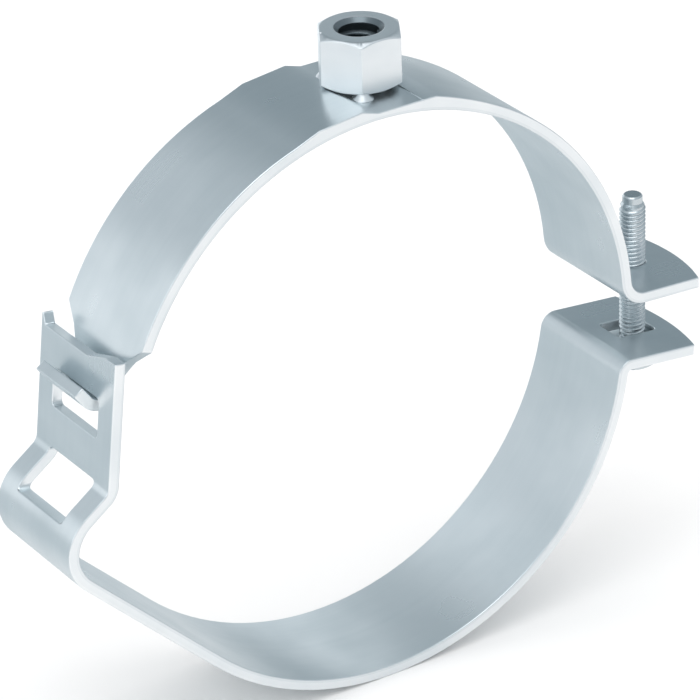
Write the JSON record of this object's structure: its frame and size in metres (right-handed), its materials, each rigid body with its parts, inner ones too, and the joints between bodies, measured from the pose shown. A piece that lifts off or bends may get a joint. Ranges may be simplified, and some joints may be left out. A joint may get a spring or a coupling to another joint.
{
  "type": "pipe clamp bracket",
  "caption": "Hinged pipe clamp of zinc-plated strip steel, with a hexagonal threaded socket welded on top, a hook hinge on one side and a clamping screw on the other.",
  "frame": {"origin": "centre of the upper half ring, midway across the strip", "axes": "+Z along the connection socket's thread, away from the pipe; Y along the pipe; +X towards the clamping screw"},
  "size_m": [0.1654, 0.03, 0.1487],
  "materials": {
    "band_steel": "bright zinc plate on strip steel",
    "socket_steel": "bright zinc plate on turned steel",
    "screw_steel": "bright zinc plate on rolled thread"
  },
  "bodies": {
    "upper": {"upper_band": "band_steel", "threaded_socket": "socket_steel"},
    "lower": {"lower_band": "band_steel"},
    "washer": {"washer": "screw_steel"},
    "screw": {"clamp_screw": "screw_steel"}
  },
  "joints": [
    {"name": "clamp_close", "type": "hinge", "parent": "upper", "child": "lower", "pos_m": [-0.06552, 0, 0.01743], "axis": [0, -1, 0], "range_deg": [0, 4.4]},
    {"name": "screw_advance", "type": "slide", "parent": "upper", "child": "washer", "axis": [0, 0, 1], "range_m": [0, 0.01145]},
    {"name": "screw_turn", "type": "hinge", "parent": "washer", "child": "screw", "pos_m": [0.0759, 0, 0], "axis": [0, 0, 1], "range_deg": [0, 4120]}
  ],
  "couplings": [
    {"joint": "screw_advance", "follows": "clamp_close", "m_per_rad": 0.14842},
    {"joint": "screw_turn", "follows": "clamp_close", "ratio": 932.56}
  ]
}
